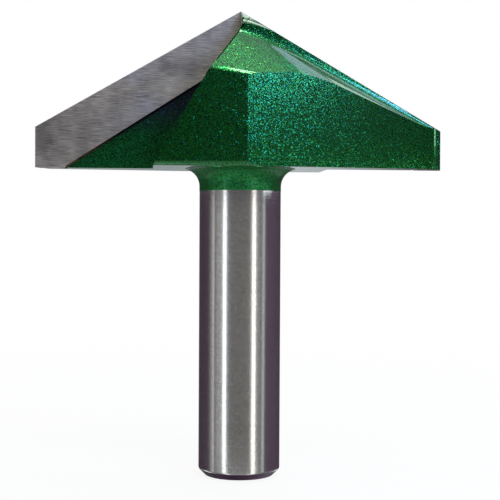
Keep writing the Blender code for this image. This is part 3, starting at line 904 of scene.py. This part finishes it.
camera_data = bpy.data.cameras.new("camera")
camera = bpy.data.objects.new("camera", camera_data)
bpy.context.scene.collection.objects.link(camera)
camera_data.sensor_width = 36
camera_data.lens = 85.96
camera_data.shift_x = 0.0203
camera_data.clip_start = 0.01
camera_distance = 0.1764912
camera_height = 0.0357433
camera_turn = 0.0776
camera_looks_down = 0.0147373
camera_roll = 0.0048742
camera.location = (-camera_distance * math.sin(camera_turn),
                   -camera_distance * math.cos(camera_turn), camera_height)
camera.rotation_euler = (Matrix.Rotation(-camera_turn, 4, "Z")
                         @ Matrix.Rotation(math.pi / 2 - camera_looks_down, 4, "X")
                         @ Matrix.Rotation(camera_roll, 4, "Z")).to_euler()
bpy.context.scene.camera = camera
bpy.context.scene.view_settings.view_transform = "Standard"


TENT_RADIUS = 0.5
TENT_SIDES = 128
TENT_BASE = -0.45
TENT_ROOF = 0.45
BAND_BOTTOM = -0.16
BAND_TOP = 0.062
FULL_GLOW = 4.0
RING_RADIUS = 0.045
RING_BOTTOM = 0.0434
RING_DEPTH = 0.0165


def tent_cloth(name, cards):
    """Cloth with cards on it: how far round each one hangs, its brightness and its tint.

    It hangs 0 degrees round at the camera's side, and less than 0 to the left of that.
    """
    cloth, tree, shader = new_material(name)
    tree.nodes.remove(shader)
    place = node(tree, "ShaderNodeTexCoord")
    apart = node(tree, "ShaderNodeSeparateXYZ")
    forward = node(tree, "ShaderNodeMath", operation="MULTIPLY")
    forward.inputs[1].default_value = -1.0
    angle = node(tree, "ShaderNodeMath", operation="ARCTAN2")
    degrees = node(tree, "ShaderNodeMapRange", From_Min=-math.pi, From_Max=math.pi)
    ramp = node(tree, "ShaderNodeValToRGB")
    glow = node(tree, "ShaderNodeEmission", Strength=FULL_GLOW)
    tree.links.new(place.outputs["Object"], apart.inputs[0])
    tree.links.new(apart.outputs["X"], angle.inputs[0])
    tree.links.new(apart.outputs["Y"], forward.inputs[0])
    tree.links.new(forward.outputs[0], angle.inputs[1])
    tree.links.new(angle.outputs[0], degrees.inputs["Value"])
    tree.links.new(degrees.outputs["Result"], ramp.inputs["Fac"])
    tree.links.new(ramp.outputs["Color"], glow.inputs["Color"])
    tree.links.new(glow.outputs[0], tree.nodes["Material Output"].inputs["Surface"])
    stops = ramp.color_ramp.elements
    for degree, brightness, tint in cards:
        turn = (degree + 180) / 360
        stop = stops[0] if turn == 0 else stops[-1] if turn == 1 else stops.new(turn)
        stop.color = [brightness / FULL_GLOW * part for part in tint] + [1]
    return cloth


def hang(name, cloth):
    """Settle a new sheet of the tent, which only shows in what is shiny."""
    sheet = bpy.context.object
    sheet.name = name
    bpy.ops.object.transform_apply(location=True, rotation=False, scale=False)
    sheet.data.materials.append(cloth)
    sheet.visible_camera = False
    sheet.visible_diffuse = False
    sheet.visible_shadow = False


def tent_wall(name, bottom, top, cards):
    bpy.ops.object.select_all(action="DESELECT")
    bpy.ops.mesh.primitive_cylinder_add(vertices=TENT_SIDES, radius=TENT_RADIUS,
                                        depth=top - bottom, end_fill_type="NOTHING",
                                        location=(0, 0, (top + bottom) / 2))
    hang(name, tent_cloth(name, cards))


def tent_end(name, height, cards):
    bpy.ops.object.select_all(action="DESELECT")
    bpy.ops.mesh.primitive_circle_add(vertices=TENT_SIDES, radius=TENT_RADIUS,
                                      fill_type="NGON", location=(0, 0, height))
    hang(name, tent_cloth(name, cards))


grey, cool, warm, plum = (1, 1, 1), (0.88, 0.96, 1), (1, 0.985, 0.93), (1, 0.52, 0.97)
low_cards = [
    (-180, 0.40, cool), (-150, 0.25, grey), (-128, 0.30, grey), (-122, 1.6, cool),
    (-112, 1.6, cool), (-106, 0.30, grey), (-70, 0.20, grey), (-54, 0.36, grey),
    (-50, 1.8, cool), (-42, 1.8, cool), (-36, 0.40, grey), (0, 0.36, grey), (30, 0.40, grey),
    (34, 1.8, warm), (42, 1.8, warm), (48, 0.36, grey), (80, 0.18, grey), (126, 0.30, grey),
    (132, 1.6, cool), (142, 1.6, cool), (148, 0.30, grey), (180, 0.40, cool)]
tent_wall("tent_foot", TENT_BASE, BAND_BOTTOM, low_cards)
tent_wall("tent_below", BAND_BOTTOM, BAND_TOP, [
    (-180, 0.38, cool), (-170, 0.38, cool), (-163, 0.06, plum), (-106, 0.06, plum),
    (-97, 0.12, grey), (-90, 0.40, grey), (-86, 0.42, grey), (-84.5, 1.1, grey),
    (-82, 1.1, grey), (-80, 0.14, grey), (-75, 0.14, grey), (-72, 0.46, grey),
    (-62, 0.46, grey), (-53, 0.36, grey), (-51, 3.2, cool), (-43.5, 3.2, cool),
    (-41.5, 0.25, grey), (-26, 0.19, warm), (24, 0.19, warm), (30, 0.30, grey),
    (32, 3.2, warm), (39.5, 3.2, warm), (41.5, 0.26, grey), (52, 0.32, grey),
    (60, 0.12, grey), (65.5, 0.95, cool), (68.5, 0.95, cool), (70.5, 0.08, grey),
    (80, 0.10, plum), (163, 0.06, plum), (171, 0.6, cool), (180, 0.38, cool)])
tent_wall("tent_above", BAND_TOP, TENT_ROOF, [
    (-180, 0.35, cool), (-150, 0.15, grey), (-100, 0.15, grey), (-80, 0.15, grey),
    (-50, 0.15, grey), (-42, 0.03, grey), (0, 0.015, grey), (34, 0.03, grey), (56, 0.08, cool),
    (62, 0.2, cool), (66, 4.0, cool), (92, 4.0, cool), (98, 0.2, cool), (150, 0.2, cool),
    (180, 0.35, cool)])
tent_end("tent_roof", TENT_ROOF, [(-180, 0.36, grey), (180, 0.36, grey)])
tent_end("tent_base", TENT_BASE, low_cards)

# A dark ring in front, level with the underside, keeps the bright strips to the shank
bpy.ops.object.select_all(action="DESELECT")
bpy.ops.mesh.primitive_cone_add(vertices=TENT_SIDES, radius1=RING_RADIUS,
                                radius2=TENT_RADIUS, depth=RING_DEPTH,
                                end_fill_type="NOTHING",
                                location=(0, 0, RING_BOTTOM + RING_DEPTH / 2))
ring = bpy.context.object
bpy.ops.object.mode_set(mode="EDIT")
bpy.ops.mesh.select_mode(type="FACE")
bpy.ops.mesh.select_all(action="DESELECT")
shape = bmesh.from_edit_mesh(ring.data)
for face in shape.faces:
    face.select = face.calc_center_median().y > 0.05
bmesh.update_edit_mesh(ring.data)
bpy.ops.mesh.delete(type="FACE")
bpy.ops.object.mode_set(mode="OBJECT")
cloth, tree, shader = new_material("tent_ring")
tree.nodes.remove(shader)
glow = node(tree, "ShaderNodeEmission", Strength=0.02)
tree.links.new(glow.outputs[0], tree.nodes["Material Output"].inputs["Surface"])
hang("tent_ring", cloth)


def soft_lamp(name, size, place, aim_height, brightness, colour):
    """A rectangular lamp aimed at the bit's axis, as bright as a white sheet times a number."""
    data = bpy.data.lights.new(name, "AREA")
    data.shape = "RECTANGLE"
    data.size, data.size_y = size
    data.energy = brightness * math.pi * size[0] * size[1]
    data.color = colour
    lamp = bpy.data.objects.new(name, data)
    bpy.context.scene.collection.objects.link(lamp)
    lamp.location = place
    aim = Vector((0, 0, aim_height))
    lamp.rotation_euler = (Vector(place) - aim).to_track_quat("Z", "Y").to_euler()
    lamp.visible_camera = False


soft_lamp("above_camera", (0.08, 0.16), (0.062, -0.22, 0.42), 0.06, 13.0, (1, 0.97, 0.85))
soft_lamp("above_right", (0.20, 0.20), (0.20, 0.04, 0.44), 0.06, 2.9, (0.65, 0.78, 1.1))
soft_lamp("cool_side", (0.07, 0.07), (0.24, -0.28, 0.32), 0.06, 10.0, (0.4, 0.8, 1.9))
soft_lamp("overhead", (0.30, 0.30), (0, 0, 0.42), 0.05, 0.55, (1, 1, 1))
soft_lamp("behind", (0.50, 0.24), (0.12, 0.34, 0.42), 0.06, 1.9, (0.80, 1, 0.88))
soft_lamp("beside_camera", (0.03, 0.03), (0.050, -0.102, 0.088), 0.055, 4.0, (0.75, 1, 2.1))
